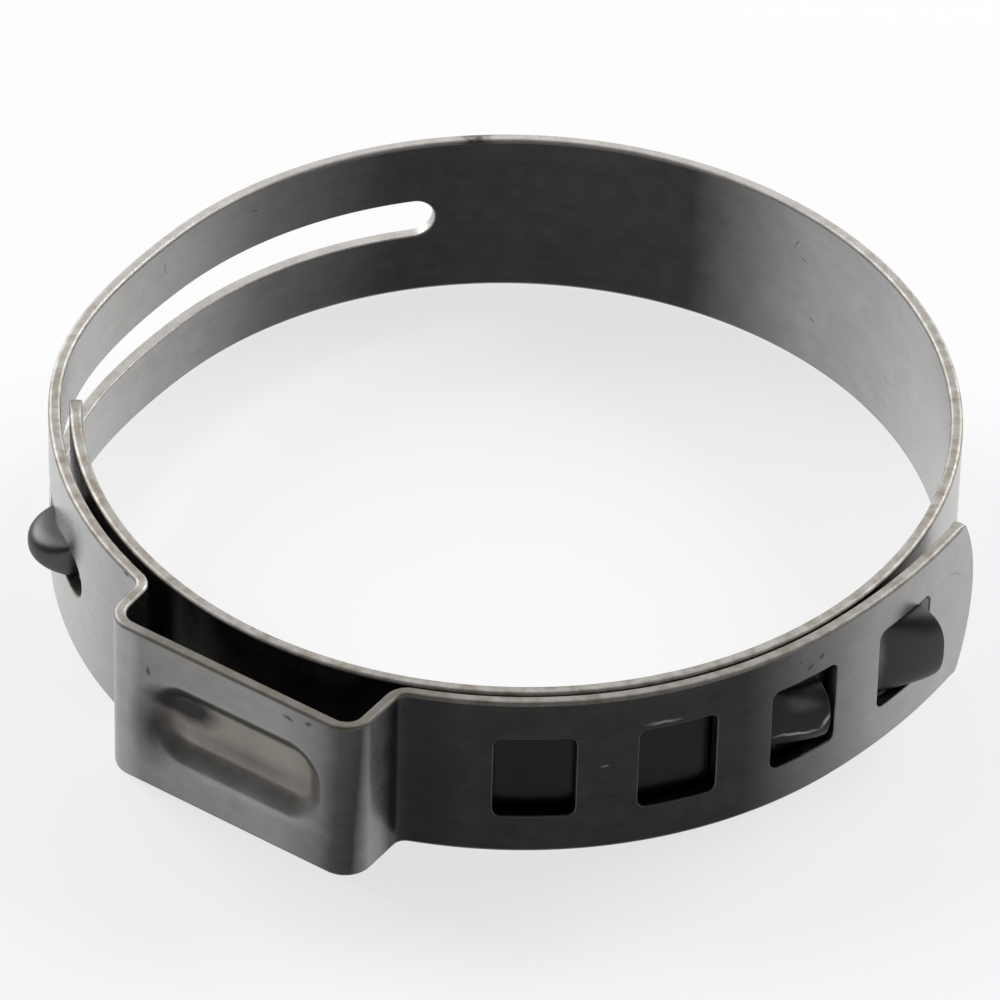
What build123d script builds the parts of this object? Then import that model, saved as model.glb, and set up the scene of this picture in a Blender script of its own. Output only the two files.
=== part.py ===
from build123d import *
import os
from math import asin, atan2, cos, degrees, hypot, radians, sin, sqrt, tan

# Stepless ear clamp for a hose: one stamped strip of stainless steel, rolled into a ring.
# The ring's axis is Z and the origin is on it, half way up the band.
# The strip starts at its free inner end, runs counter-clockwise round the bore, steps out over
# that inner end, rises into the ear, and ends as an outer layer whose windows take the hooks.
# Azimuths are in degrees, counter-clockwise from +X seen from above.  Lengths are in millimetres.

# --- driving dimensions -------------------------------------------------------------------------
band_width = 9.0
strip_thickness = 0.6
slit_edge_bevel = 0.16          # the strip's two long edges are broken, so they don't cut the hose
bore_diameter = 41.0            # open, before the ear is closed

inner_end_azimuth = 180.0       # the free end that lies against the hose
inner_corner_radius = 1.0
step_start_azimuth = 140.0      # here the band begins to step out over its own inner end
step_end_azimuth = 183.0
left_gap = 0.40                 # between the layers, from the step to the ear
right_gap = 0.10                # between the layers, from the ear to the flare

ear_azimuth = 237.8
ear_inside_width = 13.0
ear_inside_height = 2.4         # from the inner layer to the ear's front plate
ear_plate_tilt = 2.0            # degrees: the right leg is a little the longer one
ear_leg_lean = 2.5              # degrees: each leg leans inwards as it rises
ear_top_bend_radius = 0.8       # inside radius of the two upper bends
ear_base_bend_radius = 0.6      # inside radius of the two lower bends
ear_lead = 1.3                  # straight run between the ring and each lower bend

dimple_length = 10.2
dimple_height = 5.0
dimple_depth = 0.75
dimple_wall_run = 0.9           # how far the dimple's sloping wall runs in from its rim
dimple_corner_radius = 2.2

first_window_azimuth = 273.3
window_count = 4
window_pitch = 6.75
window_length = 3.75
window_height = 4.6
window_corner_radius = 0.4

flare_length = 11.0             # the outer end runs straighter than the ring and stands off it
flare_radius = 33.0
outer_end_margin = 6.1          # from the last window's centre to the tip
outer_end_radius = 8.6          # the tip is one shallow arc across the band

slot_start_azimuth = 102.0
slot_end_azimuth = 204.4
slot_height = 2.1

button_azimuth = 194.8
button_radius = 1.7
button_rise = 1.45              # above the outer layer
button_edge_radius = 0.6
button_clearance = 0.10         # each side, in the slot

hook_root_clearance = 0.10      # from a hook's root to the window's near edge
load_hook_window = 3            # counted from the ear, starting at 0
load_hook_rise = 1.70           # above the outer layer
load_hook_side_clearance = 0.10
load_hook_tip_clearance = 0.80  # from the hook's tip to the window's far edge
load_hook_crown_radius = 1.1
guide_hook_window = 2
guide_hook_rise = 0.75
guide_hook_side_clearance = 0.60
guide_hook_tip_clearance = 0.95
guide_hook_crown_radius = 1.4

# --- sizes that follow from them ----------------------------------------------------------------
bore_radius = bore_diameter / 2
inner_layer_face = bore_radius + strip_thickness
inner_path_radius = bore_radius + strip_thickness / 2
left_path_radius = inner_path_radius + strip_thickness + left_gap
right_path_radius = inner_path_radius + strip_thickness + right_gap
left_outer_face = left_path_radius + strip_thickness / 2
right_outer_face = right_path_radius + strip_thickness / 2
window_step = degrees(window_pitch / right_outer_face)
last_window_azimuth = first_window_azimuth + (window_count - 1) * window_step
flare_azimuth = last_window_azimuth + degrees((outer_end_margin - flare_length) / right_path_radius)
reach = bore_radius + 2 * band_width    # beyond everything on the ring
trim_allowance = 0.1                    # a cutter passes the strip's faces by this much


def polar(radius, azimuth):
    """A point in the ring's plane."""
    return Vector(radius * cos(radians(azimuth)), radius * sin(radians(azimuth)))


def along(azimuth):
    """The direction of a counter-clockwise path where it crosses an azimuth."""
    return Vector(-sin(radians(azimuth)), cos(radians(azimuth)))


def face_plane(azimuth, radius=0.0):
    """Faces the band from outside: X runs along the strip, Y is up, Z points outwards."""
    return Plane(origin=polar(radius, azimuth), x_dir=along(azimuth), z_dir=polar(1, azimuth))


def edge_plane(azimuth, radius):
    """Faces the band's lower edge: X runs along the strip, Y points outwards."""
    return Plane(origin=polar(radius, azimuth), x_dir=along(azimuth), z_dir=(0, 0, -1))


# --- the strip ----------------------------------------------------------------------------------
def ear_point(offset, height):
    """A point beside the ear's centre line, at a height above the ring's axis."""
    return polar(height, ear_azimuth) + along(ear_azimuth) * offset


def ear_path():
    """The ear's centre line, with the azimuths where it leaves and rejoins the ring."""
    middle = inner_layer_face + ear_inside_height + strip_thickness / 2
    half_top = (ear_inside_width + strip_thickness) / 2
    corners = []
    for side, radius in ((-1, left_path_radius), (1, right_path_radius)):
        top_height = middle + side * half_top * tan(radians(ear_plate_tilt))
        base_radius = hypot(radius, ear_lead)
        half_base = half_top + (top_height - base_radius) * tan(radians(ear_leg_lean))
        base_azimuth = ear_azimuth + side * degrees(asin(half_base / base_radius))
        ring_azimuth = base_azimuth + side * degrees(atan2(ear_lead, radius))
        corners.append((ring_azimuth, polar(radius, ring_azimuth), polar(base_radius, base_azimuth),
                        ear_point(side * half_top, top_height)))
    (leave, start, left_base, left_top), (rejoin, end, right_base, right_top) = corners
    base_bend = ear_base_bend_radius + strip_thickness / 2
    top_bend = ear_top_bend_radius + strip_thickness / 2
    line = FilletPolyline(start, left_base, left_top, right_top, right_base, end,
                          radius=[base_bend, top_bend, top_bend, base_bend])
    return line, leave, rejoin


def strip_path():
    """The centre line of the whole strip, from the inner end to the outer end."""
    centre = (0, 0)
    ear, leave, rejoin = ear_path()
    inner_turn = 360 + step_start_azimuth - inner_end_azimuth
    inner = CenterArc(centre, inner_path_radius, inner_end_azimuth, inner_turn)
    step = Spline(inner @ 1, polar(left_path_radius, step_end_azimuth),
                  tangents=[along(step_start_azimuth), along(step_end_azimuth)])
    left = CenterArc(centre, left_path_radius, step_end_azimuth, leave - step_end_azimuth)
    right = CenterArc(centre, right_path_radius, rejoin, flare_azimuth - rejoin)
    flare = JernArc(right @ 1, right % 1, flare_radius, degrees(flare_length / flare_radius))
    return Wire([*inner.edges(), *step.edges(), *left.edges(), *ear.edges(),
                 *right.edges(), *flare.edges()])


def rolled_strip(path):
    """The strip's section, with its long edges broken, carried along the path."""
    start = Plane(origin=path @ 0, x_dir=polar(1, inner_end_azimuth), z_dir=path % 0)
    section = Rectangle(strip_thickness, band_width)
    section = start * chamfer(section.vertices(), slit_edge_bevel)
    return sweep(section, path=path)


# --- ends, windows and slot ---------------------------------------------------------------------
def end_trimmer(plane, depth, kept):
    """Cuts back to a kept outline over the last stretch of an end; the plane's X points off the end."""
    block = Pos((trim_allowance - depth) / 2, 0) * Rectangle(depth + trim_allowance, 2 * band_width)
    return extrude(plane * (block - kept), amount=strip_thickness / 2 + trim_allowance, both=True)


def inner_end_trimmer():
    """Rounds the two corners of the end that lies against the hose."""
    plane = Plane(origin=polar(inner_path_radius, inner_end_azimuth), x_dir=-along(inner_end_azimuth),
                  z_dir=polar(1, inner_end_azimuth))
    kept = Pos(-band_width / 2, 0) * RectangleRounded(band_width, band_width, inner_corner_radius)
    return end_trimmer(plane, inner_corner_radius, kept)


def outer_end_trimmer(path):
    """Gives the outer end its shallow arc across the band."""
    heading = path % 1
    plane = Plane(origin=path @ 1, x_dir=heading, z_dir=Vector(heading.Y, -heading.X))
    depth = outer_end_radius - sqrt(outer_end_radius ** 2 - (band_width / 2) ** 2)
    return end_trimmer(plane, depth, Pos(-outer_end_radius, 0) * Circle(outer_end_radius))


def window_cutter(index):
    """Opens one window through the outer layer and leaves the inner layer whole."""
    azimuth = first_window_azimuth + index * window_step
    outline = RectangleRounded(window_length, window_height, window_corner_radius)
    through = extrude(face_plane(azimuth) * outline, amount=reach)
    return through - Cylinder(inner_layer_face + right_gap / 2, 2 * band_width)


def slot_sector(start, end, inner_radius):
    """A stretch of the slot, between two azimuths and outside a radius."""
    plane = Plane(origin=(0, 0, 0), x_dir=polar(1, start), z_dir=-along(start))
    depth = reach - inner_radius
    outline = plane * (Pos(inner_radius + depth / 2, 0) * Rectangle(depth, slot_height))
    return revolve(outline, axis=Axis.Z, revolution_arc=end - start)


def slot_cutter():
    """The slot in which the button slides: through the band, then through the outer layer only."""
    round_end = degrees(slot_height / 2 / inner_layer_face)
    start = slot_start_azimuth + round_end
    end = slot_end_azimuth - round_end
    change = inner_end_azimuth - 2 * round_end
    through_radius = bore_radius - strip_thickness
    over_radius = inner_layer_face + left_gap / 2
    cutter = slot_sector(start, change, through_radius) + slot_sector(change, end, over_radius)
    for azimuth, radius in ((start, through_radius), (end, over_radius)):
        cutter += extrude(face_plane(azimuth, radius) * Circle(slot_height / 2), amount=reach - radius)
    return cutter


# --- formed features ----------------------------------------------------------------------------
def ear_plate_plane():
    """The outer face of the ear's plate: X along the strip, Y up, Z outwards."""
    middle = inner_layer_face + ear_inside_height + strip_thickness / 2
    azimuth = ear_azimuth - ear_plate_tilt
    centre_line = Plane(origin=polar(middle, ear_azimuth), x_dir=along(azimuth), z_dir=polar(1, azimuth))
    return centre_line.offset(strip_thickness / 2)


def dimple_form(skin, top):
    """The dimple from a height on the plate down to its floor, its surfaces moved in by a skin."""
    slope = dimple_wall_run / dimple_depth
    sections = []
    for height in (top, -dimple_depth - skin):
        inset = -height * slope - skin * sqrt(1 + slope ** 2)
        outline = RectangleRounded(dimple_length - 2 * inset, dimple_height - 2 * inset,
                                   dimple_corner_radius - inset)
        sections.append(ear_plate_plane().offset(height) * outline)
    return loft(sections)


def add_dimple(band):
    """Presses the dimple into the ear's plate: a hollow outside and a boss one skin away inside."""
    boss = dimple_form(strip_thickness, -strip_thickness / 2)
    return band + boss - dimple_form(0, trim_allowance)


def above_mid_strip(shape):
    """Keeps a formed feature off the bore."""
    return shape - Cylinder(inner_path_radius, 2 * band_width)


def add_button(band):
    """The pressed button on the inner end that slides in the slot, hollow behind."""
    centre = left_outer_face + button_rise - button_radius
    width = slot_height - 2 * button_clearance
    plane = edge_plane(button_azimuth, centre)
    skin = plane * Cylinder(button_radius, width)
    skin = fillet(skin.edges().filter_by(GeomType.CIRCLE), button_edge_radius)
    depth = centre - bore_radius + strip_thickness
    hollow = Cylinder(button_radius - strip_thickness, width - 2 * strip_thickness)
    hollow += Pos(0, -depth / 2) * Box(2 * (button_radius - strip_thickness), depth,
                                       width - 2 * strip_thickness)
    return band + above_mid_strip(skin) - plane * hollow


def hook_form(azimuth, rise, length, width, crown_radius, inset):
    """The solid under a hook's skin, its tip at the azimuth.  An inset gives the hollow behind it."""
    crest = strip_thickness + right_gap + rise - inset
    root = sqrt(inner_layer_face ** 2 - length ** 2) - inner_layer_face - inset
    floor = root - 2 * strip_thickness
    back = inset - length
    skin = Spline((back, root), (0, crest), tangents=[(2, 1), (3, 1)])
    sides = Polyline((0, crest), (0, floor), (back, floor), (back, root))
    form = extrude(edge_plane(azimuth, inner_layer_face) * make_face(skin + sides),
                   amount=width / 2 - inset, both=True)
    crowns = form.edges().filter_by(GeomType.BSPLINE)
    return fillet(crowns, crown_radius - inset)


def add_hook(band, window, rise, side_clearance, tip_clearance, crown_radius):
    """A hook pressed out of the inner layer, standing in its window with an open tip."""
    width = window_height - 2 * side_clearance
    length = window_length - tip_clearance - hook_root_clearance
    tip = window_length / 2 - tip_clearance
    azimuth = first_window_azimuth + window * window_step + degrees(tip / right_outer_face)
    skin = hook_form(azimuth, rise, length, width, crown_radius, 0)
    hollow = hook_form(azimuth, rise, length, width, crown_radius, strip_thickness)
    return band + above_mid_strip(skin) - hollow


def clamp_band():
    """The whole clamp."""
    path = strip_path()
    band = rolled_strip(path)
    band = add_dimple(band)
    band -= inner_end_trimmer()
    band -= outer_end_trimmer(path)
    for index in range(window_count):
        band -= window_cutter(index)
    band -= slot_cutter()
    band = add_button(band)
    band = add_hook(band, load_hook_window, load_hook_rise, load_hook_side_clearance,
                    load_hook_tip_clearance, load_hook_crown_radius)
    band = add_hook(band, guide_hook_window, guide_hook_rise, guide_hook_side_clearance,
                    guide_hook_tip_clearance, guide_hook_crown_radius)
    return band


os.makedirs("parts", exist_ok=True)
export_step(clamp_band(), "parts/clamp_band.step")
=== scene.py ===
import math

import bpy
import numpy as np
from mathutils import Matrix, Vector, kdtree
from mathutils.geometry import delaunay_2d_cdt


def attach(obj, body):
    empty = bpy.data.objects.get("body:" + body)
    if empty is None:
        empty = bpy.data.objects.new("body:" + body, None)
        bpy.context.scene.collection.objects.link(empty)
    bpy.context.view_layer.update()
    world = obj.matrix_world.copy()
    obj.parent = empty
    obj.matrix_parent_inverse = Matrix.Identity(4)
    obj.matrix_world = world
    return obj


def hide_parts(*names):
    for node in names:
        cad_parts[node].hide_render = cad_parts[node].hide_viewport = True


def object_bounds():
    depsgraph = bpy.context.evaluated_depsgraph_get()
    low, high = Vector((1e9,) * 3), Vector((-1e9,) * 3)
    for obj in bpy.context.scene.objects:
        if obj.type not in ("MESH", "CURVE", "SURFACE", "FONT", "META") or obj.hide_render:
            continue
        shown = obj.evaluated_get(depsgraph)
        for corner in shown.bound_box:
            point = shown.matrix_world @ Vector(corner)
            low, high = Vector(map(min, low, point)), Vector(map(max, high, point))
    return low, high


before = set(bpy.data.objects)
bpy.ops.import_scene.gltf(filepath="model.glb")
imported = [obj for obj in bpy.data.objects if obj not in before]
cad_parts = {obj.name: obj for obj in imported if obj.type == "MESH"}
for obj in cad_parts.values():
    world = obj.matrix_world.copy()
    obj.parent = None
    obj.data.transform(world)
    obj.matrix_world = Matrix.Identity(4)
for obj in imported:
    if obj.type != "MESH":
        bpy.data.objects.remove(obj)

# A stepless ear clamp: one stamped strip of stainless steel, rolled into a ring and standing on its
# edge on a pale floor.  The band is modelled as a sheet: every point has a place along the strip and
# a height across it, and the sheet is carried along the strip's centre line.  Lengths are in
# millimetres until the mesh is written, and azimuths are in degrees, counter-clockwise from +X.

cad_low, cad_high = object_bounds()
MM = 0.001

# --- the strip and its formed features ----------------------------------------------------------
BAND_WIDTH = 9.0
THICKNESS = 0.6
BORE_RADIUS = 20.5
INNER_END = 180.0
INNER_CORNER = 1.0
STEP_START, STEP_END = 500.0, 543.0     # the band's second pass over the azimuths 140 to 183
LEFT_GAP, RIGHT_GAP = 0.40, 0.10        # between the two layers, before and after the ear

EAR_AZIMUTH = 237.8 + 360.0
EAR_WIDTH, EAR_HEIGHT = 13.0, 2.4       # inside
EAR_TILT, EAR_LEAN = 2.0, 2.5
EAR_LEAD = 1.3
EAR_TOP_BEND, EAR_BASE_BEND = 1.1, 0.9  # radii of the centre line

DIMPLE_LENGTH, DIMPLE_HEIGHT, DIMPLE_CORNER = 10.4, 5.2, 2.3
DIMPLE_DEPTH, DIMPLE_RUN = 0.78, 1.9
DIMPLE_RIM_OUTER, DIMPLE_RIM_INNER = 0.15, 0.45     # how far round it each face begins to sink

WINDOW_LENGTH, WINDOW_HEIGHT, WINDOW_CORNER = 3.75, 4.6, 0.4
WINDOW_PITCH, WINDOW_COUNT = 6.75, 4
FIRST_WINDOW = 273.3 + 360.0
FLARE_LENGTH, FLARE_RADIUS = 11.0, 33.0
TIP_MARGIN, TIP_RADIUS, TIP_CORNER = 6.1, 8.6, 0.35

SLOT_START, SLOT_END, SLOT_HEIGHT = 462.0, 564.4, 2.1

BUTTON_AZIMUTH = 194.8
BUTTON_RADIUS, BUTTON_HALF_WIDTH, BUTTON_RISE = 1.7, 0.95, 1.45
BUTTON_WALL, BUTTON_POWER = 0.12, 2.8   # the run of its end walls, and its superellipse across
BUTTON_SKIN = 0.45

# Each hook: its window, counted from 0, its rise above the outer layer, the clearances at its sides,
# its tip and its root, and its superellipse across the strip.
LOAD_HOOK = (3, 1.70, 0.10, 0.80, 0.10, 2.7)
GUIDE_HOOK = (2, 0.75, 0.60, 0.95, 0.10, 2.3)
HOOK_SKIN = 0.5
HOOK_ROOT_SKIN, HOOK_SIDE_SKIN = 0.3, 0.85          # shares of the skin's thickness there
HOOK_STRAIGHT = 0.45                    # how much of the fall towards the root is straight

LONG_EDGE = 0.20                        # these four are roundings: of the strip's two long edges,
END_EDGE = 0.10                         # of its two ends,
PUNCHED_EDGE = 0.08                     # of the windows and the slot,
HOOK_EDGE = 0.07                        # and of the hooks' tips
PUNCHED_RIM_SHARE = 0.25                       # how much of the sheared edges' colour the windows' and hooks' edges take, 1 on the others
PRESSED_FULL_HEIGHT = 0.5                     # pressing beyond this height gets the full painted shade and roughening
PRESSED_WEIGHTS = (0.75, 1.0, 0.8)               # how much painted shade and roughening the button, load hook and guide hook get

# --- sizes that follow --------------------------------------------------------------------------
HALF = THICKNESS / 2
HALF_WIDTH = BAND_WIDTH / 2
INNER_PATH = BORE_RADIUS + HALF
INNER_FACE = BORE_RADIUS + THICKNESS
LEFT_PATH = INNER_PATH + THICKNESS + LEFT_GAP
RIGHT_PATH = INNER_PATH + THICKNESS + RIGHT_GAP
WINDOW_STEP = math.degrees(WINDOW_PITCH / (RIGHT_PATH + HALF))
LAST_WINDOW = FIRST_WINDOW + (WINDOW_COUNT - 1) * WINDOW_STEP
FLARE_START = LAST_WINDOW + math.degrees((TIP_MARGIN - FLARE_LENGTH) / RIGHT_PATH)

# --- how finely the sheet is divided ------------------------------------------------------------
PATH_STEP = 0.02
RING_STEP = 0.1                         # in degrees
BEND_POINTS = 24
PLAIN_SPACING = 0.45
BEND_SPACING, BEND_MARGIN = 0.12, 0.5   # over the ear, and how far beside it
WINDOW_SPACING, SLOT_SPACING, END_SPACING = 0.18, 0.3, 0.4
SLIT_STEPS, SLIT_WIDTH, SLIT_LEAST_EDGE = 44, 0.01, 0.012
CLEAR_OF_EDGE = 0.45                    # a share of the lattice's spacing
SAME_POINT = 1e-6
ROUNDING = (30, 60, 90)                 # the angles of an edge's rings, from either face
PROBE = 0.01                            # half the distance over which a slope is measured


# --- the centre line ----------------------------------------------------------------------------
def polar(radius, azimuth):
    """A point in the ring's plane."""
    return np.array([radius * math.cos(math.radians(azimuth)), radius * math.sin(math.radians(azimuth))])


def along(azimuth):
    """The direction in which the strip runs where it crosses an azimuth."""
    return polar(1.0, azimuth + 90.0)


def ease(share):
    """0 to 1 with no slope or curvature at either end."""
    share = np.clip(share, 0.0, 1.0)
    return share ** 3 * (10 - 15 * share + 6 * share ** 2)


def ring_stretch(start, end, start_radius, end_radius):
    """Points along the ring, whose radius may change on the way."""
    share = np.linspace(0.0, 1.0, int((end - start) / RING_STEP) + 2)
    radius = start_radius + (end_radius - start_radius) * ease(share)
    azimuth = np.radians(start + (end - start) * share)
    return np.stack([radius * np.cos(azimuth), radius * np.sin(azimuth)], 1)


def bend(before, corner, after, radius):
    """Points of the arc that rounds one corner of a polyline."""
    inward = (before - corner) / np.linalg.norm(before - corner)
    onward = (after - corner) / np.linalg.norm(after - corner)
    half_angle = math.acos(float(inward @ onward)) / 2
    middle = (inward + onward) / np.linalg.norm(inward + onward)
    centre = corner + middle * radius / math.sin(half_angle)
    first = corner + inward * radius / math.tan(half_angle) - centre
    last = corner + onward * radius / math.tan(half_angle) - centre
    side = math.copysign(1.0, float(first[0] * last[1] - first[1] * last[0]))
    turn = side * (math.pi - 2 * half_angle)
    angles = np.linspace(0.0, turn, BEND_POINTS)
    cosine, sine = np.cos(angles), np.sin(angles)
    return centre + np.stack([first[0] * cosine - first[1] * sine, first[0] * sine + first[1] * cosine], 1)


def ear_stretch():
    """Points along the ear, and the azimuths where it leaves and rejoins the ring."""
    middle = INNER_FACE + EAR_HEIGHT + HALF
    half_top = (EAR_WIDTH + THICKNESS) / 2
    legs = []
    for side, radius in ((-1, LEFT_PATH), (1, RIGHT_PATH)):
        top_height = middle + side * half_top * math.tan(math.radians(EAR_TILT))
        base_radius = math.hypot(radius, EAR_LEAD)
        half_base = half_top + (top_height - base_radius) * math.tan(math.radians(EAR_LEAN))
        base_azimuth = EAR_AZIMUTH + side * math.degrees(math.asin(half_base / base_radius))
        ring_azimuth = base_azimuth + side * math.degrees(math.atan2(EAR_LEAD, radius))
        top = polar(top_height, EAR_AZIMUTH) + along(EAR_AZIMUTH) * side * half_top
        legs.append((ring_azimuth, polar(radius, ring_azimuth), polar(base_radius, base_azimuth), top))
    (leave, start, left_base, left_top), (rejoin, end, right_base, right_top) = legs
    points = [start, left_base, left_top, right_top, right_base, end]
    radii = [EAR_BASE_BEND, EAR_TOP_BEND, EAR_TOP_BEND, EAR_BASE_BEND]
    rounded = [bend(*points[i:i + 3], radii[i]) for i in range(len(radii))]
    return np.concatenate([[start], *rounded, [end]]), leave, rejoin


def flare_stretch():
    """Points along the outer end, which runs straighter than the ring."""
    start = polar(RIGHT_PATH, FLARE_START)
    centre = start - polar(FLARE_RADIUS, FLARE_START)
    turn = math.degrees(FLARE_LENGTH / FLARE_RADIUS)
    return centre + ring_stretch(FLARE_START, FLARE_START + turn, FLARE_RADIUS, FLARE_RADIUS)


class CentreLine:
    """The strip's centre line, read by the distance from its inner end."""

    def __init__(self):
        ear, leave, rejoin = ear_stretch()
        stretches = [
            ring_stretch(INNER_END, STEP_START, INNER_PATH, INNER_PATH),
            ring_stretch(STEP_START, STEP_END, INNER_PATH, LEFT_PATH),
            ring_stretch(STEP_END, leave, LEFT_PATH, LEFT_PATH),
            ear,
            ring_stretch(rejoin, FLARE_START, RIGHT_PATH, RIGHT_PATH),
            flare_stretch(),
        ]
        points = np.concatenate([stretches[0]] + [stretch[1:] for stretch in stretches[1:]])
        distance = np.concatenate([[0.0], np.cumsum(np.linalg.norm(np.diff(points, axis=0), axis=1))])
        self.length = float(distance[-1])
        self.distance = np.linspace(0.0, self.length, int(self.length / PATH_STEP))
        self.x = np.interp(self.distance, distance, points[:, 0])
        self.y = np.interp(self.distance, distance, points[:, 1])
        self.heading = np.unwrap(np.arctan2(np.gradient(self.y), np.gradient(self.x)))
        self.azimuth = np.degrees(np.unwrap(np.arctan2(self.y, self.x)))
        self.azimuth += INNER_END - self.azimuth[0]
        self.ear_start = self.at_azimuth(leave)
        self.ear_end = self.at_azimuth(rejoin)

    def at_azimuth(self, azimuth):
        """The distance from the inner end to where the strip crosses an azimuth."""
        return float(np.interp(azimuth, self.azimuth, self.distance))

    def places(self, sheet, height):
        """Points at a height above the centre line, outwards."""
        x, y, heading = (np.interp(sheet[:, 0], self.distance, row) for row in (self.x, self.y, self.heading))
        return np.stack([x + height * np.sin(heading), y - height * np.cos(heading), sheet[:, 1]], 1)

    def in_space(self, sheet, direction):
        """Directions in the sheet, turned into space."""
        heading = np.interp(sheet[:, 0], self.distance, self.heading)
        return np.stack([direction[:, 0] * np.cos(heading), direction[:, 0] * np.sin(heading),
                         direction[:, 1]], 1)


# --- formed features ----------------------------------------------------------------------------
def rounded_box(across, up, length, height, corner):
    """The distance outside a rounded rectangle, negative inside it."""
    x = np.abs(across) - length / 2 + corner
    y = np.abs(up) - height / 2 + corner
    return np.hypot(np.maximum(x, 0), np.maximum(y, 0)) + np.minimum(np.maximum(x, y), 0) - corner


def arch(share, power):
    """A superellipse's height: 1 in the middle, 0 at a share of 1 or more."""
    return (1 - np.minimum(np.abs(share), 1.0) ** power) ** (1 / power)


class Dimple:
    """The pressed hollow that stiffens the ear's plate.  Spacing and reach are the lattice's over it."""
    spacing, reach = 0.2, (6.2, 3.6)

    def __init__(self, line):
        self.centre = (line.ear_start + line.ear_end) / 2
        half_length, half_height = self.reach
        self.box = (self.centre - half_length, self.centre + half_length, -half_height, half_height)

    def height(self, sheet, inside):
        distance = rounded_box(sheet[:, 0] - self.centre, sheet[:, 1], DIMPLE_LENGTH, DIMPLE_HEIGHT,
                               DIMPLE_CORNER)
        rim = DIMPLE_RIM_INNER if inside else DIMPLE_RIM_OUTER
        return -DIMPLE_DEPTH * ease((rim - distance) / DIMPLE_RUN)


class Button:
    """The pressed button of the inner end, standing in the slot."""
    spacing, reach = 0.07, (2.0, 1.2)

    def __init__(self, line):
        self.centre = line.at_azimuth(BUTTON_AZIMUTH)
        half_length, half_height = self.reach
        self.box = (self.centre - half_length, self.centre + half_length, -half_height, half_height)
        self.base = LEFT_PATH + HALF + BUTTON_RISE - BUTTON_RADIUS - INNER_FACE

    def height(self, sheet, inside):
        skin = BUTTON_SKIN if inside else 0.0
        radius = BUTTON_RADIUS - skin
        across = np.abs(sheet[:, 0] - self.centre)
        crown = np.sqrt(np.maximum(radius ** 2 - across ** 2, 0))
        wall = ease((radius - across) / BUTTON_WALL)
        profile = (self.base + crown) * wall
        return profile * arch(sheet[:, 1] / (BUTTON_HALF_WIDTH - skin), BUTTON_POWER)


class Hook:
    """A hook pressed out of the inner layer, with an open tip towards the outer end."""
    spacing = 0.085
    past_root, past_tip, past_sides = 0.2, 0.25, 0.12

    def __init__(self, line, window, rise, side_clearance, tip_clearance, root_clearance, power):
        azimuth = FIRST_WINDOW - 360.0 + window * WINDOW_STEP
        azimuth += math.degrees((WINDOW_LENGTH / 2 - tip_clearance) / (RIGHT_PATH + HALF))
        self.tip = line.at_azimuth(azimuth)
        self.length = WINDOW_LENGTH - tip_clearance - root_clearance
        self.half_width = WINDOW_HEIGHT / 2 - side_clearance
        self.crest = THICKNESS + RIGHT_GAP + rise
        self.power = power
        self.box = (self.tip - self.length - self.past_root, self.tip + self.past_tip,
                    -self.half_width - self.past_sides, self.half_width + self.past_sides)

    def height(self, sheet, inside):
        skin = HOOK_SKIN if inside else 0.0
        back = (self.tip - sheet[:, 0]) / (self.length - HOOK_ROOT_SKIN * skin)
        share = np.clip(back, 0.0, 1.0)
        rounded = 3 * share ** 2 - 2 * share ** 3
        rise = 1 - (HOOK_STRAIGHT * share + (1 - HOOK_STRAIGHT) * rounded)
        profile = arch(sheet[:, 1] / (self.half_width - HOOK_SIDE_SKIN * skin), self.power)
        lift = self.crest * rise * profile
        return np.where(back >= 0, lift, 0.0)


# --- outlines -----------------------------------------------------------------------------------
class Outline:
    """A closed edge of the sheet, with the metal on its left: its points, the directions that point
    off the metal there, the radius of the edge's rounding, and how much of the sheared edges' colour it takes."""

    def __init__(self, edge, rim_share=1.0):
        self.edge = edge
        self.rim_share = rim_share
        self.points, self.away, self.radius = [], [], []

    def add(self, point, away, edge=None):
        self.points.append(point)
        self.away.append(away)
        self.radius.append(self.edge if edge is None else edge)

    def run(self, start, end, spacing, away, edge=None):
        """A straight run, without its end point."""
        steps = max(1, round(math.dist(start, end) / spacing))
        for i in range(steps):
            share = i / steps
            self.add((start[0] + (end[0] - start[0]) * share, start[1] + (end[1] - start[1]) * share),
                     away, edge)

    def fan(self, centre, radius, start, end, steps, hollow=False, edge=None):
        """An arc between two angles.  Round a hollow the metal is outside the arc."""
        sign = -1 if hollow else 1
        for i in range(steps + 1):
            angle = math.radians(start + (end - start) * i / steps)
            away = (math.cos(angle), math.sin(angle))
            self.add((centre[0] + radius * away[0], centre[1] + radius * away[1]),
                     (sign * away[0], sign * away[1]), edge)

    def done(self):
        """Turns the lists into arrays, and adds the points where the rounding begins."""
        self.points, self.away = np.array(self.points), np.array(self.away)
        self.radius = np.array(self.radius)
        self.inset = self.points - self.away * self.radius[:, None]
        return self


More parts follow.
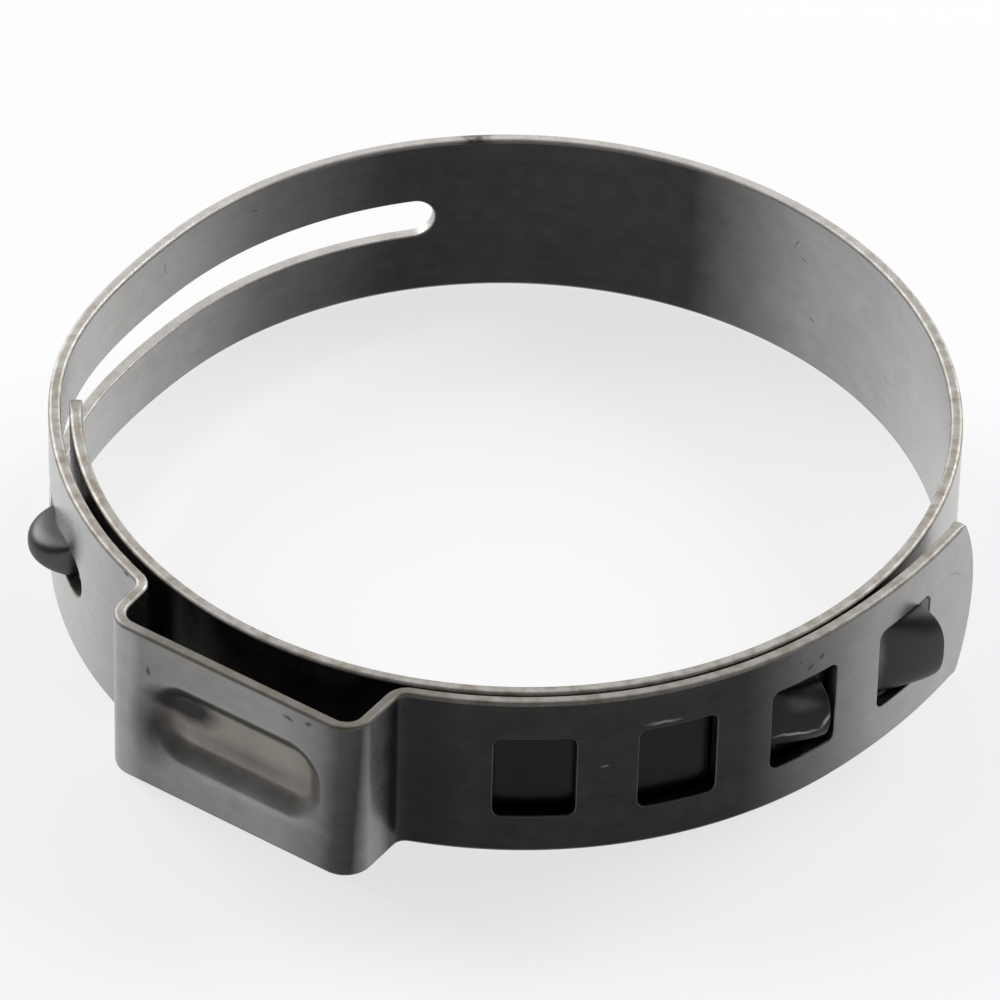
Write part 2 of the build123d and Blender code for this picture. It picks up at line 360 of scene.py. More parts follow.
def strip_outline(line):
    """The strip's two long edges and its two ends."""
    outline = Outline(LONG_EDGE)
    low, high = -HALF_WIDTH, HALF_WIDTH
    tip = TIP_CORNER
    centre = line.length - TIP_RADIUS
    half_arc = math.asin((HALF_WIDTH - tip) / (TIP_RADIUS - tip))
    end = centre + (TIP_RADIUS - tip) * math.cos(half_arc)
    half_arc = math.degrees(half_arc)
    columns = [x for x in plain_columns(line) if INNER_CORNER < x < end]
    for x in columns:
        outline.add((x, low), (0.0, -1.0))
    outline.fan((end, low + tip), tip, -90, -half_arc, steps=5, edge=END_EDGE)
    beside = 2                          # degrees between the arc and its corners
    outline.fan((centre, 0.0), TIP_RADIUS, -half_arc + beside, half_arc - beside, steps=24, edge=END_EDGE)
    outline.fan((end, high - tip), tip, half_arc, 90, steps=5, edge=END_EDGE)
    for x in reversed(columns):
        outline.add((x, high), (0.0, 1.0))
    corner = INNER_CORNER
    outline.fan((corner, high - corner), corner, 90, 180, steps=10, edge=END_EDGE)
    outline.run((0.0, high - corner - END_SPACING / 2), (0.0, low + corner), END_SPACING, (-1.0, 0.0),
                edge=END_EDGE)
    outline.fan((corner, low + corner), corner, 180, 270, steps=10, edge=END_EDGE)
    return outline.done()


def window_outline(centre):
    """One window, walked clockwise."""
    outline = Outline(PUNCHED_EDGE, PUNCHED_RIM_SHARE)
    x, y, corner = WINDOW_LENGTH / 2, WINDOW_HEIGHT / 2, WINDOW_CORNER
    turns = ((-1, 1, 180, 90), (1, 1, 90, 0), (1, -1, 0, -90), (-1, -1, -90, -180))
    for i, (side, up, start, end) in enumerate(turns):
        middle = (centre + side * (x - corner), up * (y - corner))
        outline.fan(middle, corner, start, end, steps=6, hollow=True)
        following = turns[(i + 1) % 4]
        a = outline.points[-1]
        angle = math.radians(following[2])
        b = (centre + following[0] * (x - corner) + corner * math.cos(angle),
             following[1] * (y - corner) + corner * math.sin(angle))
        away = (-math.cos(angle), -math.sin(angle))
        step = WINDOW_SPACING / math.dist(a, b)
        start_point = (a[0] + (b[0] - a[0]) * step, a[1] + (b[1] - a[1]) * step)
        outline.run(start_point, b, WINDOW_SPACING, away)
    return outline.done()


def slot_outline(line):
    """The slot with its two round ends, walked clockwise."""
    outline = Outline(PUNCHED_EDGE)
    radius = SLOT_HEIGHT / 2
    start = line.at_azimuth(SLOT_START) + radius
    end = line.at_azimuth(SLOT_END) - radius
    outline.fan((start, 0.0), radius, 270, 90, steps=18, hollow=True)
    outline.run((start + SLOT_SPACING, radius), (end, radius), SLOT_SPACING, (0.0, -1.0))
    outline.fan((end, 0.0), radius, 90, -90, steps=18, hollow=True)
    outline.run((end - SLOT_SPACING, -radius), (start, -radius), SLOT_SPACING, (0.0, 1.0))
    return outline.done()


def slit_outline(hook):
    """The cut that frees a hook's tip: the hook's own edge, then the edge it was cut from."""
    outline = Outline(HOOK_EDGE, PUNCHED_RIM_SHARE)
    for side, x in ((1.0, hook.tip), (-1.0, hook.tip + SLIT_WIDTH)):
        for i in range(SLIT_STEPS):
            share = side * (-1 + 2 * i / SLIT_STEPS)
            edge = max(HOOK_EDGE * math.sqrt(1 - share ** 2), SLIT_LEAST_EDGE)
            outline.add((x, hook.half_width * share), (side, 0.0), edge)
    return outline.done()


# --- the sheet's mesh ---------------------------------------------------------------------------
def plain_columns(line):
    """Distances along the strip, closer together round the ear's bends."""
    columns = []
    before, after = line.ear_start - BEND_MARGIN, line.ear_end + BEND_MARGIN
    for start, end, spacing in ((0.0, before, PLAIN_SPACING), (before, after, BEND_SPACING),
                                (after, line.length, PLAIN_SPACING)):
        columns.extend(np.linspace(start, end, max(2, int((end - start) / spacing)), endpoint=False))
    return columns


def lattice(line, features):
    """Points of the sheet: a plain lattice, and a finer one over each formed feature."""
    rows = np.linspace(-HALF_WIDTH, HALF_WIDTH, int(BAND_WIDTH / PLAIN_SPACING) + 1)
    x, y = (grid.ravel() for grid in np.meshgrid(plain_columns(line), rows))
    spacing = np.full(len(x), PLAIN_SPACING)
    near_ear = (x > line.ear_start - BEND_MARGIN) & (x < line.ear_end + BEND_MARGIN)
    spacing[near_ear] = BEND_SPACING
    groups = []
    for feature in features:
        x0, x1, y0, y1 = feature.box
        outside = (x < x0) | (x > x1) | (y < y0) | (y > y1)
        x, y, spacing = x[outside], y[outside], spacing[outside]
        fine_x = np.linspace(x0, x1, int((x1 - x0) / feature.spacing))
        fine_y = np.linspace(y0, y1, int((y1 - y0) / feature.spacing))
        fine = [grid.ravel() for grid in np.meshgrid(fine_x, fine_y)]
        groups.append((*fine, np.full(len(fine[0]), feature.spacing)))
    groups.append((x, y, spacing))
    return tuple(np.concatenate(column) for column in zip(*groups))


def contains(polygon, points):
    """Which points lie inside a closed polygon."""
    inside = np.zeros(len(points), bool)
    low, high = polygon.min(0), polygon.max(0)
    near = np.nonzero(((points >= low) & (points <= high)).all(1))[0]
    x, y = points[near].T
    crossings = np.zeros(len(near), bool)
    for (x0, y0), (x1, y1) in zip(polygon, np.roll(polygon, -1, 0)):
        if y0 != y1:
            spans = (y0 > y) != (y1 > y)
            crossings ^= spans & (x < x0 + (y - y0) * (x1 - x0) / (y1 - y0))
    inside[near] = crossings
    return inside


def sheet_points(line, features, outlines):
    """The lattice's points that lie on the metal and clear of its edges."""
    x, y, spacing = lattice(line, features)
    points = np.stack([x, y], 1)
    keep = contains(outlines[0].inset, points)
    for outline in outlines[1:]:
        keep &= ~contains(outline.inset, points)
    points, spacing = points[keep], spacing[keep]
    edges = np.concatenate([outline.inset for outline in outlines])
    tree = kdtree.KDTree(len(edges))
    for i, (x, y) in enumerate(edges):
        tree.insert((x, y, 0.0), i)
    tree.balance()
    clear = [tree.find((x, y, 0.0))[2] > CLEAR_OF_EDGE * gap for (x, y), gap in zip(points, spacing)]
    return points[np.array(clear)]


def triangulate(line, features, outlines):
    """The sheet's points, its triangles, and each outline's points by number."""
    loose = sheet_points(line, features, outlines)
    corners = np.concatenate([outline.inset for outline in outlines] + [loose])
    edges, first = [], 0
    for outline in outlines:
        count = len(outline.inset)
        edges += [(first + i, first + (i + 1) % count) for i in range(count)]
        first += count
    found = delaunay_2d_cdt([Vector(corner) for corner in corners], edges, [], 0, SAME_POINT)
    sheet = np.array([tuple(point) for point in found[0]])
    triangles = np.array([tuple(face) for face in found[2]])
    number = {}
    for i, sources in enumerate(found[3]):
        for source in sources:
            number[source] = i
    middles = sheet[triangles].mean(1)
    keep = contains(outlines[0].inset, middles)
    for outline in outlines[1:]:
        keep &= ~contains(outline.inset, middles)
    loops, first = [], 0
    for outline in outlines:
        loops.append([number[first + i] for i in range(len(outline.inset))])
        first += len(outline.inset)
    return sheet, triangles[keep], loops


def formed_height(features, sheet, inside):
    """How far the pressed features lift one face of the sheet."""
    return sum(feature.height(sheet, inside) for feature in features)


def formed_face(line, features, sheet, inside):
    """The places and the normals of one face of the band."""
    level = -HALF if inside else HALF

    def at(shift_x, shift_y):
        moved = sheet + (shift_x, shift_y)
        return line.places(moved, level + formed_height(features, moved, inside))

    normals = np.cross(at(PROBE, 0) - at(-PROBE, 0), at(0, PROBE) - at(0, -PROBE))
    normals /= np.linalg.norm(normals, axis=1)[:, None]
    return at(0, 0), -normals if inside else normals


def edge_rings(outer, inner, outer_normals, inner_normals, away, radius):
    """Rounds one edge of the sheet: rings of points from its outer face to its inner face."""
    wall = inner - outer
    depth = np.linalg.norm(wall, axis=1)
    wall /= depth[:, None]
    rings = []
    for face, normals, down, angles in ((outer, outer_normals, wall, ROUNDING),
                                        (inner, inner_normals, -wall, ROUNDING[::-1])):
        for angle in angles:
            sine, cosine = math.sin(math.radians(angle)), math.cos(math.radians(angle))
            places = face + down * (radius * (1 - cosine))[:, None] + away * (radius * sine)[:, None]
            slopes = normals * cosine + away * sine
            rings.append((places, slopes / np.linalg.norm(slopes, axis=1)[:, None]))
    return rings


def store(mesh, name, rows):
    """Keeps a number or a vector for each point of the mesh, for its material to read."""
    kind, field = ("FLOAT", "value") if rows.ndim == 1 else ("FLOAT_VECTOR", "vector")
    mesh.attributes.new(name, kind, "POINT").data.foreach_set(field, rows.ravel())


def link(name, data):
    """A new object in the scene."""
    made = bpy.data.objects.new(name, data)
    bpy.context.scene.collection.objects.link(made)
    return made


def build_band():
    """The whole band as one closed mesh.  The material reads three things at its points: "sheet" is
    the place along and across the strip and the share of its length, "rim" how much of the sheared
    edges' colour a point takes, and "formed" how far the pressing darkens the skin with painted shade and
    roughens it, and how deep the dimple is."""
    line = CentreLine()
    load_hook, guide_hook = Hook(line, *LOAD_HOOK), Hook(line, *GUIDE_HOOK)
    features = [Dimple(line), Button(line), load_hook, guide_hook]
    middles = [line.at_azimuth(FIRST_WINDOW + i * WINDOW_STEP) for i in range(WINDOW_COUNT)]
    windows = [window_outline(middle) for middle in middles]
    outlines = [strip_outline(line), *windows, slot_outline(line),
                slit_outline(load_hook), slit_outline(guide_hook)]
    sheet, triangles, loops = triangulate(line, features, outlines)
    count = len(sheet)
    outer, outer_normals = formed_face(line, features, sheet, False)
    inner, inner_normals = formed_face(line, features, sheet, True)
    places, normals = [outer, inner], [outer_normals, inner_normals]
    sheets, rims = [sheet, sheet], [np.zeros(2 * count)]
    faces = [tuple(face) for face in triangles]
    faces += [tuple(face[::-1] + count) for face in triangles]
    made = 2 * count
    for outline, loop in zip(outlines, loops):
        loop = np.array(loop)
        size = len(loop)
        away = line.in_space(outline.points, outline.away)
        numbers = [loop]
        for ring_places, ring_normals in edge_rings(outer[loop], inner[loop], outer_normals[loop],
                                                    inner_normals[loop], away, outline.radius):
            numbers.append(made + np.arange(size))
            made += size
            places.append(ring_places)
            normals.append(ring_normals)
            sheets.append(outline.points)
            rims.append(np.full(size, outline.rim_share))
        numbers.append(loop + count)
        for upper, lower in zip(numbers, numbers[1:]):
            following_upper, following_lower = np.roll(upper, -1), np.roll(lower, -1)
            faces += [tuple(quad) for quad in zip(upper, lower, following_lower, following_upper)]
    mesh = bpy.data.meshes.new("band")
    mesh.from_pydata(np.concatenate(places) * MM, [], faces)
    mesh.shade_smooth()
    mesh.normals_split_custom_set_from_vertices(np.concatenate(normals))
    sheet = np.concatenate(sheets)
    store(mesh, "sheet", np.column_stack([sheet, sheet[:, 0] / line.length]))
    store(mesh, "rim", np.concatenate(rims))
    dimple, *pressed = (feature.height(sheet, False) for feature in features)
    pressed_share = sum(np.clip(height / PRESSED_FULL_HEIGHT, 0.0, most) for height, most in zip(pressed, PRESSED_WEIGHTS))
    store(mesh, "formed", np.column_stack([pressed_share, -dimple / DIMPLE_DEPTH, np.zeros(len(pressed_share))]))
    return link("band", mesh)


# --- materials ----------------------------------------------------------------------------------
class Nodes:
    """Adds nodes to a material's tree."""

    def __init__(self, name):
        self.material = bpy.data.materials.new(name)
        self.material.use_nodes = True
        self.tree = self.material.node_tree
        self.tree.nodes.clear()

    def add(self, kind, inputs=None, **settings):
        """One node, its settings, and what feeds its inputs: a value, or another node's output."""
        node = self.tree.nodes.new(kind)
        for name, value in settings.items():
            setattr(node, name, value)
        for name, value in (inputs or {}).items():
            if isinstance(value, bpy.types.NodeSocket):
                self.tree.links.new(value, node.inputs[name])
            else:
                node.inputs[name].default_value = value
        return node

    def maths(self, operation, first, second=0.0, third=0.0):
        return self.add("ShaderNodeMath", {0: first, 1: second, 2: third}, operation=operation).outputs[0]

    def vector(self, operation, first, second, third=(0.0, 0.0, 0.0)):
        node = self.add("ShaderNodeVectorMath", {0: first, 1: second, 2: third}, operation=operation)
        return node.outputs["Vector"]

    def noise(self, vector, scale, detail, roughness):
        node = self.add("ShaderNodeTexNoise", {"Vector": vector, "Scale": scale, "Detail": detail,
                                               "Roughness": roughness})
        return node.outputs["Fac"]

    def ramp(self, factor, *stops):
        """A colour ramp; each stop is its place and a grey or a colour."""
        node = self.add("ShaderNodeValToRGB", {"Fac": factor})
        elements = node.color_ramp.elements
        for i, (place, colour) in enumerate(stops):
            element = elements[i] if i < 2 else elements.new(place)
            element.position = place
            element.color = (*colour, 1) if isinstance(colour, tuple) else (colour,) * 3 + (1,)
        return node.outputs["Color"]

    def mix(self, factor, first, second, blend_type="MIX"):
        node = self.add("ShaderNodeMix", {0: factor}, data_type="RGBA", blend_type=blend_type)
        for socket, value in ((node.inputs[6], first), (node.inputs[7], second)):
            if isinstance(value, bpy.types.NodeSocket):
                self.tree.links.new(value, socket)
            else:
                socket.default_value = (*value, 1)
        return node.outputs[2]


# The steel's own tones come first.  The dark tones after them are painted shade, and the pressed tone is
# painted shade on the pressed parts and also the colour of the scratches.
STEEL_LOW, STEEL_HIGH = (0.44, 0.445, 0.452), (0.53, 0.527, 0.523)
PAINTED_SHADE_LOW, PAINTED_SHADE_HIGH = (0.024, 0.024, 0.027), (0.036, 0.035, 0.034)
PRESSED_SHADE_AND_SCRATCH = (0.036, 0.034, 0.032)
PAINTED_SHADE_DARKEST = (0.019, 0.017, 0.019)
STAIN = (0.93, 0.85, 0.74)
BROWN = (0.05, 0.036, 0.022)
HOLLOW_TINT = (0.95, 0.88, 0.79)
EDGE_COLOURS = ((0.36, (0.31, 0.278, 0.238)), (0.6, (0.47, 0.455, 0.43)))
RIM_LIGHT, RIM_DARK = (0.72, 0.70, 0.68), (0.15, 0.132, 0.112)

# Scale, detail and roughness of each noise.  The streaks are in mm of the strip, drawn out along it,
# and the others are in metres.
STREAKS, STREAK_SHAPE = (1.0, 4.0, 0.6), (0.3, 5.0, 1.0)
CLOUDS, MOTTLE, GRAIN = (160.0, 3.0, 0.5), (900.0, 4.0, 0.55), (6000.0, 2.0, 0.5)
STAIN_NOISE = (1300.0, 5.0, 0.65)
WOBBLE_SCALE, WOBBLE = 2500.0, 0.25     # how far the small marks' outlines wobble, in mm
WANDER = 0.006                          # how far the painted shade's ends wander, as a share of the length

# Painted shade: where the walls are painted darker to stand for the shade they mirror, as shares of the
# strip's length, and how much.  The first list is the inner turn and the second the outer layer with the ear.
# The third is where the painted shade is darkest, behind the windows and beside the ear.
INNER_PAINTED_SHADE = ((0.0, 0.75), (0.03, 0.75), (0.05, 0.3), (0.08, 0.85), (0.165, 1.0), (0.258, 1.0), (0.275, 0.4),
              (0.30, 0.0), (0.37, 0.0), (0.414, 0.3), (0.437, 0.72), (0.453, 0.97), (0.53, 0.99), (0.565, 0.8),
              (0.592, 0.4), (0.63, 0.0))
OUTER_PAINTED_SHADE = ((0.0, 0.0), (0.71, 0.0), (0.73, 0.25), (0.757, 0.3), (0.7615, 0.62), (0.775, 0.55), (0.80, 0.5),
              (0.812, 0.7), (0.815, 0.85), (0.818, 1.0), (0.8215, 0.96), (0.8236, 0.7), (0.825, 0.05),
              (0.8272, 0.0), (0.8285, 0.75), (0.83, 0.95), (0.836, 1.0), (0.92, 1.0), (0.945, 0.7), (0.96, 0.4),
              (0.985, 0.2))
DARKEST_PAINTED_SHADE = ((0.155, 0.0), (0.165, 1.0), (0.242, 1.0), (0.25, 0.0), (0.836, 0.0), (0.839, 0.6), (0.845, 0.6),
              (0.852, 0.0))
# The same for the sheared edges: lighter at the back, and darker and browner at the ear and the front.
BRIGHT_RIM = ((0.36, 0.0), (0.43, 0.5), (0.58, 0.5), (0.68, 0.0))
DARK_RIM = ((0.745, 0.0), (0.765, 0.75), (0.838, 0.75), (0.852, 0.3), (0.94, 0.3), (0.97, 0.1))
BROWN_LINE = 1.5                        # along both sides of a sheared edge

SKIN_RANGE, STREAK_SHARE = (0.35, 0.65), 0.35
CLOUD_STAIN = ((0.5, 0.0), (0.8, 0.45))
PRESSED_SHADE_AMOUNT = 0.85
DIMPLE_WALL = ((0.08, 0.0), (0.25, 0.8), (0.75, 1.0), (0.93, 0.0))     # by how deep the dimple is
UPPER_WALL = ((0.7, 0.0), (1.5, 1.0))                                  # by the height in mm
# Softness and strength of the painted shade in the dimple.
UPPER_SHADE_SOFTNESS, SHADE_SOFTNESS, SHADE, DIMPLE_SHADE_STRENGTH = 0.5, 0.1, 0.88, 0.95
SKIN_ROUGHNESS, MOTTLE_ROUGHNESS = 0.2, 0.16
PRESSED_ROUGHNESS, WALL_ROUGHNESS, RIM_ROUGHNESS = 0.2, 0.2, 0.3
STREAK_RELIEF, GRAIN_RELIEF = 0.2, 0.8
BUMP_STRENGTH, BUMP_DISTANCE = 0.025, 0.00002

# Small marks: place along and across the strip, half lengths that way in mm, and turn in degrees.
# The dimple's groups: painted shade at its upper left corner, at its left end and along its lower slope, and a
# painted highlight along its lower lip.
DIMPLE_UPPER_SHADE = ((152.2, 0.85, 2.2, 1.3, -8),)
DIMPLE_SHADE = ((150.9, -0.8, 1.5, 2.7, 0),)
DIMPLE_SLOPE_SHADE = ((156.0, -0.75, 4.2, 0.8, 0),)
DIMPLE_LIP_HIGHLIGHT = ((156.3, -2.1, 4.8, 0.7, 0),)
SCRATCHES = ((83.1, 2.5, 0.05, 0.5, 25), (82.6, 1.75, 0.4, 0.05, 20), (81.9, -1.6, 0.35, 0.06, 15),
             (79.0, 0.6, 0.07, 0.07, 0), (76.0, -1.5, 0.06, 0.06, 0), (195.5, 1.9, 1.1, 0.035, -35),
             (118.5, 3.1, 0.04, 0.5, 10), (112.2, 3.2, 0.3, 0.04, 30))
# The next three groups are painted highlights: on the hooks' flanks and rims, by the guide hook's tip, and
# small bright bits by the windows.
FLANK_HIGHLIGHTS = ((46.75, 1.2, 1.1, 0.7, 20), (51.95, 0.3, 0.3, 1.6, 0))
PAINTED_HIGHLIGHTS = ((47.42, -0.05, 0.13, 0.6, -25), (46.35, -0.74, 1.1, 0.12, 10), (48.65, 0.8, 0.14, 0.9, 0))
GLINTS = ((177.2, 2.62, 1.0, 0.12, 0), (174.48, 0.5, 0.2, 0.07, 0), (171.9, 0.9, 0.1, 0.05, 30))
STAINS = ((150.66, 2.5, 0.16, 0.3, 10), (158.6, 3.75, 0.35, 0.13, -10), (159.75, 3.95, 0.3, 0.16, 20),
          (144.9, 4.3, 0.25, 0.18, 0), (185.44, 3.28, 0.26, 0.15, 35), (184.8, 2.95, 0.3, 0.15, 20),
          (184.2, 3.5, 0.15, 0.1, 0), (100.3, 4.42, 1.2, 0.16, 0))
# The groups on the skin, in the order in which they lie on each other: where the softness begins,
# how much, and the colour.  They are painted shade on the dimple's slope, painted highlights on its lip, on the
# hooks and by the windows, and scratches.
SKIN_MARKS = ((DIMPLE_SLOPE_SHADE, 0.0, 0.45, PAINTED_SHADE_DARKEST), (DIMPLE_LIP_HIGHLIGHT, 0.1, 0.3, STEEL_HIGH),
              (SCRATCHES, 0.3, 0.6, PRESSED_SHADE_AND_SCRATCH), (FLANK_HIGHLIGHTS, 0.1, 0.13, STEEL_HIGH), (PAINTED_HIGHLIGHTS, 0.2, 0.5, STEEL_HIGH),
              (GLINTS, 0.2, 0.3, STEEL_HIGH))
STAIN_SOFTNESS, STAIN_AMOUNT = 0.4, 0.8


def marks(nodes, place, group, softness):
    """How much of a group of small marks lies on each place of the strip."""
    total = 0.0
    for along_strip, across, half_length, half_width, turn in group:
        local = nodes.add("ShaderNodeMapping", {"Vector": place, "Location": (along_strip, across, 0.0),
                                                "Rotation": (0.0, 0.0, math.radians(turn)),
                                                "Scale": (half_length, half_width, 1.0)},
                          vector_type="TEXTURE").outputs[0]
        distance = nodes.add("ShaderNodeVectorMath", {0: local}, operation="LENGTH").outputs["Value"]
        total = nodes.maths("MAXIMUM", nodes.ramp(distance, (softness, 1.0), (1.0, 0.0)), total)
    return total


def flat_place(nodes, sheet, place):
    """The place along and across the strip, a little wobbled, for the small marks."""
    wobble = nodes.add("ShaderNodeTexNoise", {"Vector": place, "Scale": WOBBLE_SCALE}).outputs["Color"]
    flat = nodes.vector("MULTIPLY", sheet, (1.0, 1.0, 0.0))
    flat = nodes.vector("MULTIPLY_ADD", wobble, (WOBBLE, WOBBLE, 0.0), flat)
    return nodes.vector("SUBTRACT", flat, (WOBBLE / 2, WOBBLE / 2, 0.0))


def steel_material():
    """Cold-rolled stainless strip: a dull mottled skin, painted shade on its darker walls and pressed parts,
    painted highlights, scratches and stains, sheared edges.
    """
    nodes = Nodes("band_steel")
    sheet = nodes.add("ShaderNodeAttribute", attribute_name="sheet").outputs["Vector"]
    rim = nodes.add("ShaderNodeAttribute", attribute_name="rim").outputs["Fac"]
    formed = nodes.add("ShaderNodeAttribute", attribute_name="formed").outputs["Vector"]
    formed = nodes.add("ShaderNodeSeparateXYZ", {0: formed})
    pressed_share, hollow = formed.outputs["X"], formed.outputs["Y"]
    strip = nodes.add("ShaderNodeSeparateXYZ", {0: sheet})
    across, share = strip.outputs["Y"], strip.outputs["Z"]
    place = nodes.add("ShaderNodeTexCoord").outputs["Object"]
    streaks = nodes.noise(nodes.vector("MULTIPLY", sheet, STREAK_SHAPE), *STREAKS)
    clouds, mottle = nodes.noise(place, *CLOUDS), nodes.noise(place, *MOTTLE)

    # the skin, and the painted shade on its darker walls
    wander = nodes.maths("MULTIPLY_ADD", nodes.maths("SUBTRACT", clouds, 0.5), WANDER, share)
    painted_shade = nodes.maths("MAXIMUM", nodes.ramp(wander, *INNER_PAINTED_SHADE), nodes.ramp(wander, *OUTER_PAINTED_SHADE))
    skin = nodes.maths("MULTIPLY_ADD", streaks, STREAK_SHARE, nodes.maths("MULTIPLY", mottle, 1 - STREAK_SHARE))
    bright = nodes.ramp(skin, *zip(SKIN_RANGE, (STEEL_LOW, STEEL_HIGH)))
    dark = nodes.ramp(skin, *zip(SKIN_RANGE, (PAINTED_SHADE_LOW, PAINTED_SHADE_HIGH)))
    face = nodes.mix(painted_shade, bright, dark)
    # Painted shade, darkest, behind the windows and beside the ear.
    face = nodes.mix(nodes.ramp(share, *DARKEST_PAINTED_SHADE), face, PAINTED_SHADE_DARKEST)
    # Painted shade: the pressed button and hooks are darkened by how far they are pressed.
    face = nodes.mix(nodes.maths("MULTIPLY", pressed_share, PRESSED_SHADE_AMOUNT), face, PRESSED_SHADE_AND_SCRATCH)
    face = nodes.mix(hollow, face, HOLLOW_TINT, "MULTIPLY")
    face = nodes.mix(nodes.ramp(clouds, *CLOUD_STAIN), face, STAIN, "MULTIPLY")

    # painted shade in the dimple: on its upper wall, at its upper left corner and at its left end; then the
    # small marks
    flat = flat_place(nodes, sheet, place)
    wall = nodes.ramp(hollow, *DIMPLE_WALL)
    upper = nodes.maths("MULTIPLY", wall, nodes.ramp(across, *UPPER_WALL))
    painted_dimple_shade = nodes.maths("MAXIMUM", upper, marks(nodes, flat, DIMPLE_UPPER_SHADE, UPPER_SHADE_SOFTNESS))
    shade = nodes.maths("MULTIPLY", marks(nodes, flat, DIMPLE_SHADE, SHADE_SOFTNESS), SHADE)
    painted_dimple_shade = nodes.maths("MAXIMUM", painted_dimple_shade, shade)
    face = nodes.mix(nodes.maths("MULTIPLY", painted_dimple_shade, DIMPLE_SHADE_STRENGTH), face, PAINTED_SHADE_DARKEST)
    for group, softness, amount, colour in SKIN_MARKS:
        face = nodes.mix(nodes.maths("MULTIPLY", marks(nodes, flat, group, softness), amount), face, colour)

    # the sheared edges
    edge = nodes.ramp(nodes.noise(place, *STAIN_NOISE), *EDGE_COLOURS)
    edge = nodes.mix(nodes.ramp(share, *BRIGHT_RIM), edge, RIM_LIGHT)
    edge = nodes.mix(nodes.ramp(share, *DARK_RIM), edge, RIM_DARK)
    line = nodes.maths("MULTIPLY", nodes.maths("SUBTRACT", 1.0, rim), nodes.maths("MULTIPLY", rim, BROWN_LINE))
    colour = nodes.mix(rim, face, edge)
    colour = nodes.mix(line, colour, BROWN)
    stained = nodes.maths("MULTIPLY", marks(nodes, flat, STAINS, STAIN_SOFTNESS), STAIN_AMOUNT)
    colour = nodes.mix(stained, colour, BROWN)

    roughness = nodes.maths("MULTIPLY_ADD", mottle, MOTTLE_ROUGHNESS, SKIN_ROUGHNESS)
    for part, more in ((pressed_share, PRESSED_ROUGHNESS), (wall, WALL_ROUGHNESS), (rim, RIM_ROUGHNESS)):
        roughness = nodes.maths("MULTIPLY_ADD", part, more, roughness)
    grain = nodes.maths("MULTIPLY", nodes.noise(place, *GRAIN), GRAIN_RELIEF)
    relief = nodes.maths("MULTIPLY_ADD", streaks, STREAK_RELIEF, grain)
    bump = nodes.add("ShaderNodeBump", {"Height": relief, "Strength": BUMP_STRENGTH,
                                        "Distance": BUMP_DISTANCE})
    shader = nodes.add("ShaderNodeBsdfPrincipled", {"Base Color": colour, "Metallic": 1.0,
                                                    "Roughness": roughness, "Normal": bump.outputs[0]})
    nodes.add("ShaderNodeOutputMaterial", {"Surface": shader.outputs[0]})
    return nodes.material


FLOOR_GREY = (0.9, 0.9, 0.9, 1)
FLOOR_GLOW = 0.72                       # the share of the floor's seen colour that is plain white


def floor_material():
    """Pale matt card.  Part of what the camera and the metal see of it is plain white."""
    nodes = Nodes("pale_floor")
    light = nodes.add("ShaderNodeLightPath")
    seen = nodes.maths("MAXIMUM", light.outputs["Is Camera Ray"], light.outputs["Is Glossy Ray"])
    seen = nodes.maths("MAXIMUM", seen, light.outputs["Is Transmission Ray"])
    share = nodes.maths("MULTIPLY", seen, FLOOR_GLOW)
    matt = nodes.add("ShaderNodeBsdfDiffuse", {"Color": FLOOR_GREY})
    glow = nodes.add("ShaderNodeEmission", {"Color": (1, 1, 1, 1), "Strength": 1.0})
    mixed = nodes.add("ShaderNodeMixShader", {0: share, 1: matt.outputs[0], 2: glow.outputs[0]})
    nodes.add("ShaderNodeOutputMaterial", {"Surface": mixed.outputs[0]})
    return nodes.material


# --- the studio ---------------------------------------------------------------------------------
FLOOR_HALF = 1.5                        # in metres
# Each lamp: azimuth and elevation in degrees, distance and side in metres, and watts.
LAMPS = {
    "left_lamp": (140, 32, 0.5, 0.25, 1.8),
    "right_lamp": (40, 32, 0.5, 0.25, 1.8),
    "back_lamp": (90, 45, 0.5, 0.3, 0.18),
}
WORLD_IN_FRONT, WORLD_BEHIND = 0.15, 0.3
WORLD_TURN = (-0.5, 0.6)                # between which Y of a direction the one passes into the other


def add_floor():
    """A wide pale floor under the band's lower edge."""
    half = FLOOR_HALF
    corners = [(-half, -half, 0), (half, -half, 0), (half, half, 0), (-half, half, 0)]
    mesh = bpy.data.meshes.new("floor")
    mesh.from_pydata(corners, [], [(0, 1, 2, 3)])
    floor = link("floor", mesh)
    floor.location.z = cad_low.z
    mesh.materials.append(floor_material())


def add_lamp(name, azimuth, elevation, distance, side, power):
    """A soft square lamp that points at the band."""
    data = bpy.data.lights.new(name, "AREA")
    data.shape = "RECTANGLE"
    data.size, data.size_y = side, side
    data.energy = power
    lamp = link(name, data)
    a, e = math.radians(azimuth), math.radians(elevation)
    away = Vector((math.cos(a) * math.cos(e), math.sin(a) * math.cos(e), math.sin(e)))
    lamp.location = away * distance
    lamp.rotation_euler = away.to_track_quat("Z", "Y").to_euler()


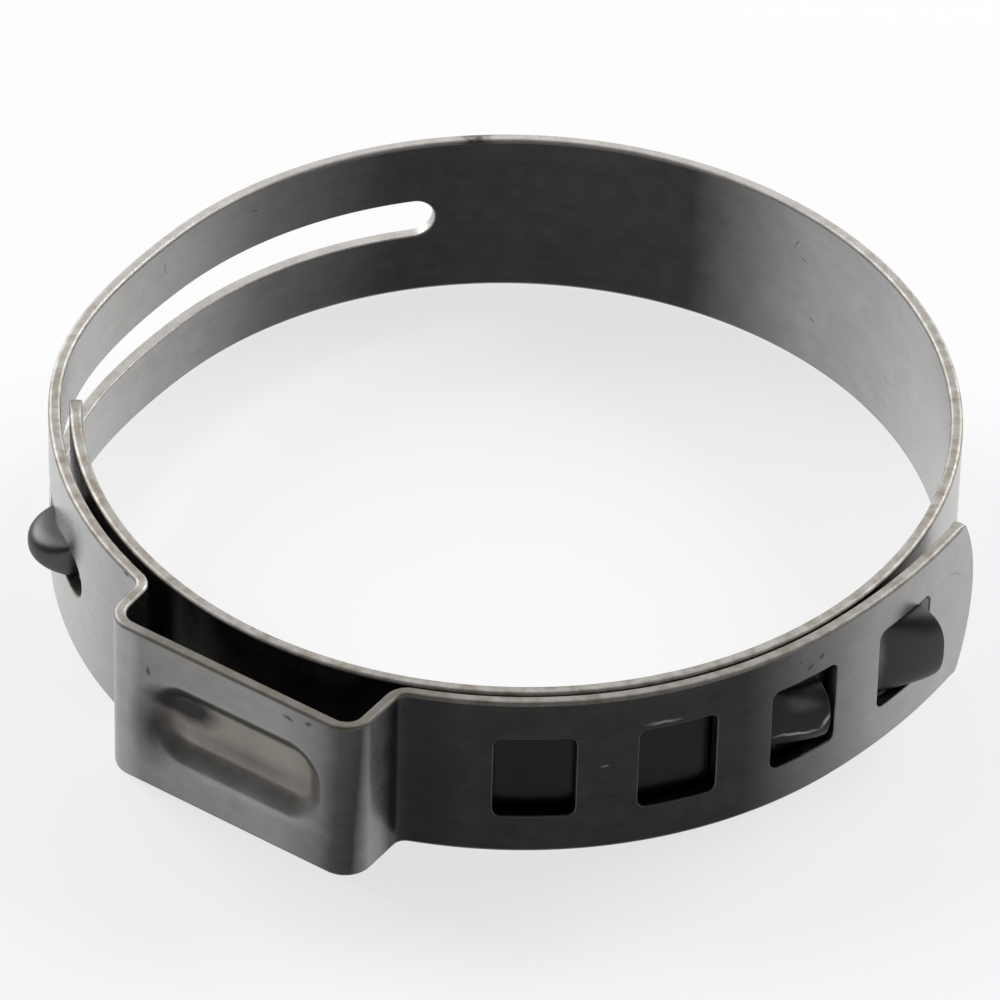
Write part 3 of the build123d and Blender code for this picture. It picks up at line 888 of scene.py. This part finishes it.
def add_world():
    """A soft studio, bright behind and beside the band and dim in front of it."""
    world = bpy.data.worlds.new("studio")
    world.use_nodes = True
    tree = world.node_tree
    background = tree.nodes["Background"]
    background.inputs["Color"].default_value = (1, 1, 1, 1)
    direction = tree.nodes.new("ShaderNodeTexCoord").outputs["Generated"]
    depth = tree.nodes.new("ShaderNodeSeparateXYZ")
    tree.links.new(direction, depth.inputs[0])
    strength = tree.nodes.new("ShaderNodeMapRange")
    strength.interpolation_type = "SMOOTHSTEP"
    strength.inputs["From Min"].default_value, strength.inputs["From Max"].default_value = WORLD_TURN
    strength.inputs["To Min"].default_value = WORLD_IN_FRONT
    strength.inputs["To Max"].default_value = WORLD_BEHIND
    tree.links.new(depth.outputs["Y"], strength.inputs["Value"])
    tree.links.new(strength.outputs[0], background.inputs["Strength"])
    bpy.context.scene.world = world


# The camera, in millimetres and degrees, as it was fitted to the ring's rims.
CAMERA_ELEVATION = 39.398
CAMERA_ROLL = 1.512
CAMERA_DISTANCE = 427.874
CAMERA_ASIDE, CAMERA_UP = -0.691, -1.123
FOCAL_PIXELS, IMAGE_PIXELS, SENSOR = 9001.75, 1000, 36.0
NEAREST, FARTHEST = 0.05, 10.0          # in metres


def add_camera():
    """Looks at the middle of the band from the photo's direction, aside and up by what was fitted."""
    elevation, roll = math.radians(CAMERA_ELEVATION), math.radians(CAMERA_ROLL)
    right = Vector((1, 0, 0))
    up = Vector((0, math.sin(elevation), math.cos(elevation)))
    back = Vector((0, -math.cos(elevation), math.sin(elevation)))
    rolled_right = right * math.cos(roll) + up * math.sin(roll)
    rolled_up = up * math.cos(roll) - right * math.sin(roll)
    place = back * CAMERA_DISTANCE + rolled_right * CAMERA_ASIDE + rolled_up * CAMERA_UP
    camera = link("camera", bpy.data.cameras.new("camera"))
    turned = Matrix((rolled_right, rolled_up, back)).transposed().to_4x4()
    camera.matrix_world = Matrix.Translation(place * MM) @ turned
    camera.data.sensor_width = SENSOR
    camera.data.lens = FOCAL_PIXELS * SENSOR / IMAGE_PIXELS
    camera.data.clip_start, camera.data.clip_end = NEAREST, FARTHEST
    bpy.context.scene.camera = camera


# --- the scene ----------------------------------------------------------------------------------
band = build_band()
band.data.materials.append(steel_material())
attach(band, "root")
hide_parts("clamp_band")

add_floor()
add_world()
for lamp_name, lamp in LAMPS.items():
    add_lamp(lamp_name, *lamp)
add_camera()
bpy.context.scene.view_settings.view_transform = "Standard"
